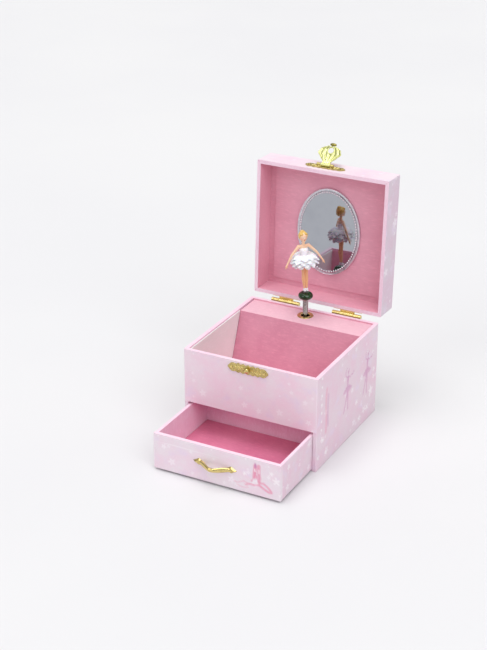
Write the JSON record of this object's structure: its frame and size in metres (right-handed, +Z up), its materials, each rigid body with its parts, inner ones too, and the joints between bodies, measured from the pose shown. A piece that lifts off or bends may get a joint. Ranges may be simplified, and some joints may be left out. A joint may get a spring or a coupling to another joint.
{
  "type": "musical jewellery box",
  "caption": "Square paper-covered jewellery box with a mirrored lid, a drawer, and a clockwork movement that turns a small dancer on a spring.",
  "frame": {"origin": "centre of the case's underside, on the surface that the box stands on", "axes": "+Z up, -Y towards the front where the drawer and the catch are, +X to the right of someone facing the front"},
  "size_m": [0.1406, 0.1998, 0.2026],
  "materials": {
    "printed_paper": "satin wrap paper, pale lilac pink with a faint white blossom print",
    "bottom_paper": "plain matte cover paper",
    "lining_paper": "matte rose lining paper with a fine fibre grain",
    "white_liner": "matte off-white lining paper",
    "drawer_paper": "matte pink lining paper over board",
    "grey_board": "board covered with lining paper",
    "brass": "bright lacquered brass",
    "pale_brass": "pale bright brass plating",
    "movement_brass": "turned brass",
    "movement_steel": "nickel-plated steel",
    "spring_steel": "polished spring steel",
    "block_wood": "plain softwood",
    "green_plastic": "glossy dark green plastic",
    "doll_plastic": "painted doll plastic",
    "tutu_gauze": "white gauze petals",
    "mirror_trim": "silvered beaded moulding",
    "mirror": "silvered glass"
  },
  "bodies": {
    "case": {"bottom_board": "bottom_paper", "left_wall": "printed_paper", "right_wall": "printed_paper", "back_wall": "printed_paper", "front_panel": "printed_paper", "tray_shelf": "grey_board", "bay_back_board": "grey_board", "mechanism_cover": "lining_paper", "tray_left_liner": "white_liner", "tray_right_liner": "white_liner", "tray_front_liner": "white_liner", "tray_floor_liner": "lining_paper", "stage_grommet": "brass", "keyhole_eyelet": "brass", "catch_plate": "brass", "catch_stud": "brass", "catch_nails": "brass", "hinge_base_leaves": "brass", "hinge_pins": "brass", "hinge_base_nails": "brass", "movement_block": "block_wood", "bedplate": "movement_steel", "comb_stand": "movement_steel", "music_comb": "spring_steel", "movement_screws": "movement_steel", "drive_bridge": "movement_steel", "arbor_bracket": "movement_steel", "governor_frame": "movement_steel"},
    "lid": {"lid_top_board": "printed_paper", "lid_left_wall": "printed_paper", "lid_right_wall": "printed_paper", "lid_front_wall": "printed_paper", "lid_back_wall": "printed_paper", "lid_lining": "lining_paper", "mirror_frame": "mirror_trim", "mirror_glass": "mirror", "clasp_plate": "brass", "clasp_nails": "brass", "clasp_pin": "brass", "hinge_lid_leaves": "brass", "hinge_lid_nails": "brass"},
    "drawer": {"drawer_front": "printed_paper", "drawer_sides": "drawer_paper", "drawer_bottom": "drawer_paper", "drawer_liner": "lining_paper", "drawer_pull": "brass"},
    "clasp_flap": {"clasp_flap": "pale_brass"},
    "winding_key": {"winding_key": "brass", "winding_arbor": "movement_steel"},
    "spring_barrel": {"spring_barrel": "movement_brass", "mainspring": "spring_steel"},
    "melody_cylinder": {"melody_cylinder": "movement_brass"},
    "governor_wheel": {"governor_wheel": "movement_brass"},
    "governor_fly": {"governor_fly": "movement_steel"},
    "drive_spindle": {"drive_spindle": "movement_steel"},
    "spring_bend": {"dancer_spring": "spring_steel"},
    "socket_bend": {"dancer_socket": "movement_steel"},
    "dancer": {"dancer_base": "green_plastic", "dancer_figure": "doll_plastic", "dancer_tutu": "tutu_gauze"}
  },
  "joints": [
    {"name": "lid_hinge", "type": "hinge", "parent": "case", "child": "lid", "pos_m": [0, 0.058, 0.075], "axis": [1, 0, 0], "range_deg": [0, 92.5]},
    {"name": "clasp_hinge", "type": "hinge", "parent": "lid", "child": "clasp_flap", "pos_m": [0, 0.07149, 0.18902], "axis": [1, 0, 0], "range_deg": [-40, 132]},
    {"name": "drawer_slide", "type": "slide", "parent": "case", "child": "drawer", "axis": [0, 1, 0], "range_m": [-0.015, 0.051]},
    {"name": "key_turn", "type": "hinge", "parent": "case", "child": "winding_key", "pos_m": [0, 0.038, 0.038], "axis": [1, 0, 0], "continuous": true},
    {"name": "cylinder_turn", "type": "hinge", "parent": "case", "child": "melody_cylinder", "pos_m": [-0.01487, 0.038, 0.055], "axis": [0, 0, 1], "continuous": true},
    {"name": "barrel_turn", "type": "hinge", "parent": "case", "child": "spring_barrel", "pos_m": [-0.027, 0.038, 0.038], "axis": [1, 0, 0], "continuous": true},
    {"name": "spindle_turn", "type": "hinge", "parent": "case", "child": "drive_spindle", "pos_m": [-0.002, 0.043, 0.065], "axis": [0, 0, 1], "continuous": true},
    {"name": "governor_wheel_turn", "type": "hinge", "parent": "case", "child": "governor_wheel", "pos_m": [-0.02467, 0.038, 0.062], "axis": [0, 0, 1], "continuous": true},
    {"name": "fly_turn", "type": "hinge", "parent": "case", "child": "governor_fly", "pos_m": [-0.03177, 0.04, 0.062], "axis": [0, 1, 0], "continuous": true},
    {"name": "spring_fold", "type": "hinge", "parent": "case", "child": "spring_bend", "pos_m": [-0.002, 0.043, 0.078], "axis": [1, 0, 0], "range_deg": [0, 50.5], "deforming": ["dancer_spring"]},
    {"name": "socket_fold", "type": "hinge", "parent": "spring_bend", "child": "socket_bend", "pos_m": [-0.002, 0.043, 0.087], "axis": [1, 0, 0], "range_deg": [0, 60.5]},
    {"name": "dancer_turn", "type": "hinge", "parent": "socket_bend", "child": "dancer", "pos_m": [-0.002, 0.043, 0.091], "axis": [0, 0, 1], "continuous": true}
  ],
  "couplings": [
    {"joint": "spring_fold", "follows": "lid_hinge", "ratio": 0.54054},
    {"joint": "socket_fold", "follows": "lid_hinge", "ratio": 0.64865},
    {"joint": "barrel_turn", "follows": "cylinder_turn", "ratio": 0.4},
    {"joint": "spindle_turn", "follows": "cylinder_turn", "ratio": -1},
    {"joint": "dancer_turn", "follows": "cylinder_turn", "ratio": -1},
    {"joint": "governor_wheel_turn", "follows": "cylinder_turn", "ratio": -2.5},
    {"joint": "fly_turn", "follows": "cylinder_turn", "ratio": -20}
  ]
}
